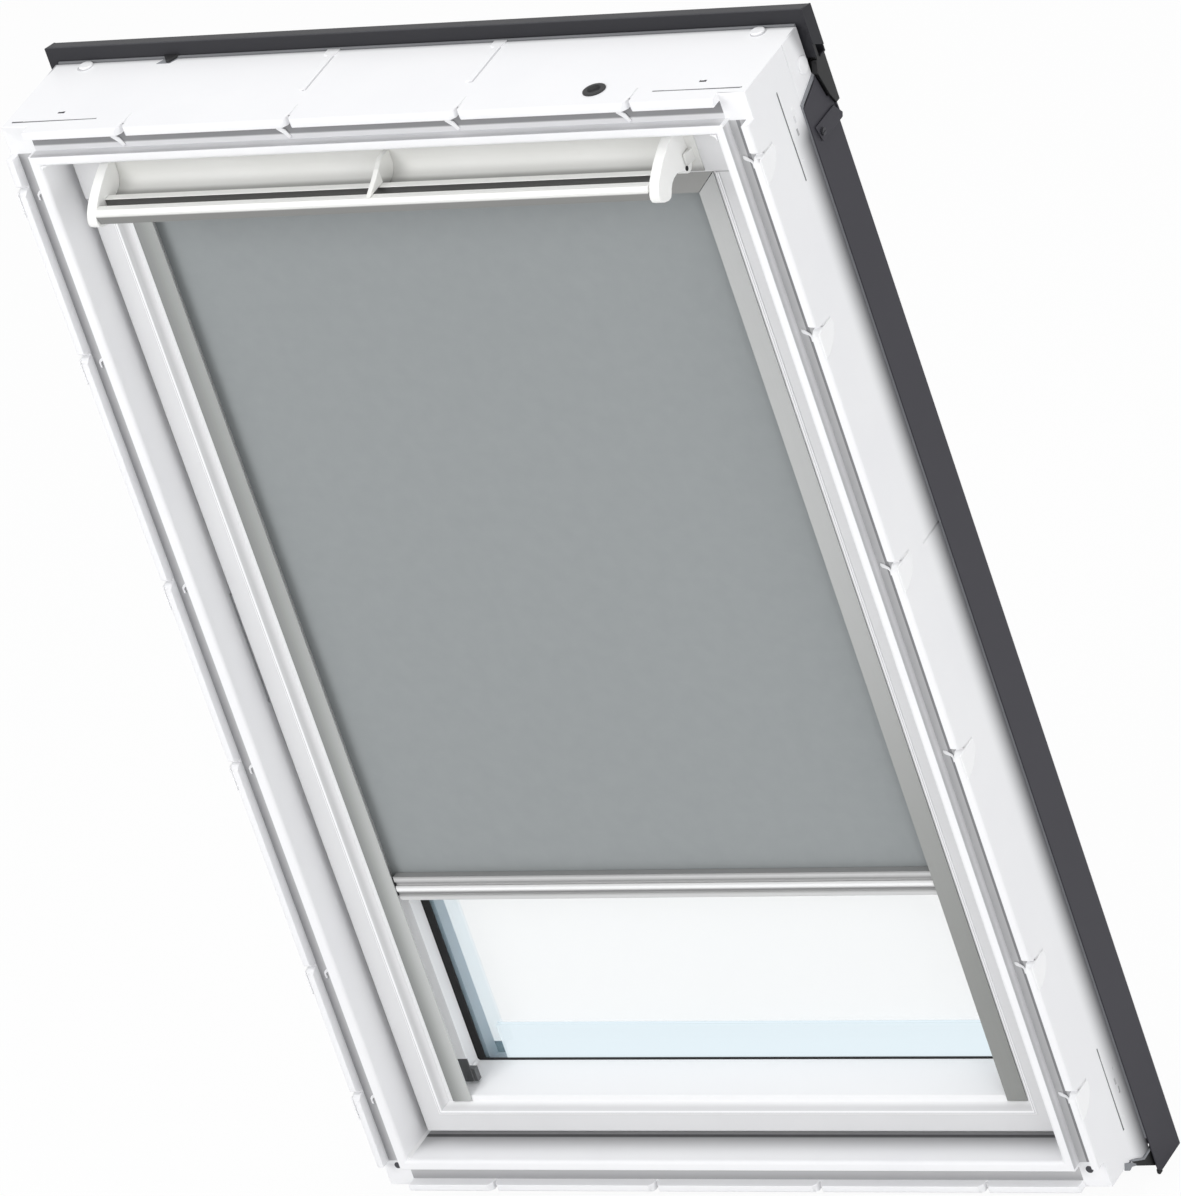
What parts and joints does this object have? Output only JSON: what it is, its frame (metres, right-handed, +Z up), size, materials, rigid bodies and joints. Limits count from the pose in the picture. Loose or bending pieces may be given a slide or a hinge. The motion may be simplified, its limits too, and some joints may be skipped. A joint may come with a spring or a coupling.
{
  "type": "roof window with roller blind",
  "caption": "White centre-pivot roof window with a grey blackout roller blind in side channels, a ventilation flap with a control bar, and dark outer covers.",
  "frame": {"origin": "middle of the frame's bottom face, in the plane of the lining groove's floor", "axes": "+X to the right seen from the room, +Z up the roof slope, +Y outwards through the glass"},
  "size_m": [0.798, 0.1785, 1.2339],
  "materials": {
    "white_frame": "smooth white skin over a timber core, satin",
    "white_trim": "satin white moulding",
    "silver_profile": "silver-grey lacquer, satin",
    "dark_cover": "matt dark grey coating",
    "black_plastic": "matt",
    "steel_fitting": "zinc plated",
    "grey_seal": "matt",
    "black_seal": "matt",
    "clear_glass": "clear, faint blue cast",
    "spacer": "matt grey",
    "blackout_fabric": "plain grey, matt, lightproof"
  },
  "bodies": {
    "frame": {"frame_top": "white_frame", "frame_bottom": "white_frame", "frame_left": "white_frame", "frame_right": "white_frame", "cable_grommet": "black_plastic", "frame_weather_strip": "grey_seal", "head_weather_strip": "grey_seal", "frame_cover_left": "dark_cover", "frame_cover_right": "dark_cover", "frame_apron": "dark_cover", "top_hood": "dark_cover", "hood_end_left": "black_plastic", "hood_end_right": "black_plastic", "cover_clip_left": "dark_cover", "cover_clip_right": "dark_cover", "cover_screw_left": "steel_fitting", "cover_screw_right": "steel_fitting", "hinge_plate_left": "steel_fitting", "hinge_plate_right": "steel_fitting", "strike_plate": "steel_fitting", "bolt_bush_upper": "black_plastic", "bolt_bush_lower": "black_plastic"},
    "sash": {"sash_top": "white_frame", "sash_bottom": "white_frame", "sash_left": "white_frame", "sash_right": "white_frame", "glass_inner": "clear_glass", "glass_outer": "clear_glass", "glass_spacer": "spacer", "glazing_seal": "black_seal", "sash_cover_left": "dark_cover", "sash_cover_right": "dark_cover", "sash_cover_top": "dark_cover", "sash_cover_bottom": "dark_cover", "hinge_arm_left": "steel_fitting", "hinge_arm_right": "steel_fitting", "lock_case": "steel_fitting", "flap_bearing_left": "white_trim", "flap_bearing_right": "white_trim", "vent_filter": "grey_seal", "blind_casing": "silver_profile", "casing_end_left": "black_plastic", "casing_end_right": "black_plastic", "side_channel_left": "silver_profile", "side_channel_right": "silver_profile", "blind_fabric": "blackout_fabric"},
    "vent_flap": {"ventilation_flap": "white_trim", "control_bar": "silver_profile", "flap_cheek_left": "white_trim", "flap_cheek_right": "white_trim", "centre_bracket": "white_trim"},
    "tongue": {"lock_tongue": "steel_fitting"},
    "bolt": {"cleaning_bolt": "steel_fitting"},
    "roller": {"roller_tube": "silver_profile", "roller_plug_left": "black_plastic", "roller_plug_right": "black_plastic", "fabric_roll": "blackout_fabric"},
    "bottom_bar": {"blind_bar": "silver_profile", "blind_slider_left": "black_plastic", "blind_slider_right": "black_plastic"}
  },
  "joints": [
    {"name": "sash_pivot", "type": "hinge", "parent": "frame", "child": "sash", "pos_m": [0, 0.055, 0.589], "axis": [1, 0, 0], "range_deg": [0, 160]},
    {"name": "flap_hinge", "type": "hinge", "parent": "sash", "child": "vent_flap", "pos_m": [0, 0.012, 1.101], "axis": [1, 0, 0], "range_deg": [0, 25]},
    {"name": "lock_tongue_slide", "type": "slide", "parent": "sash", "child": "tongue", "axis": [0, 0, 1], "range_m": [0, 0.0068]},
    {"name": "cleaning_bolt_slide", "type": "slide", "parent": "sash", "child": "bolt", "axis": [1, 0, 0], "range_m": [0, 0.019]},
    {"name": "blind_slide", "type": "slide", "parent": "sash", "child": "bottom_bar", "axis": [0, 0, 1], "range_m": [-0.22, 0.72], "deforming": ["blind_fabric"]},
    {"name": "roller_spin", "type": "hinge", "parent": "sash", "child": "roller", "pos_m": [0, 0.0546, 1.079], "axis": [1, 0, 0], "range_deg": [-3450, 1060]}
  ],
  "couplings": [
    {"joint": "roller_spin", "follows": "blind_slide", "rad_per_m": -83.333}
  ]
}
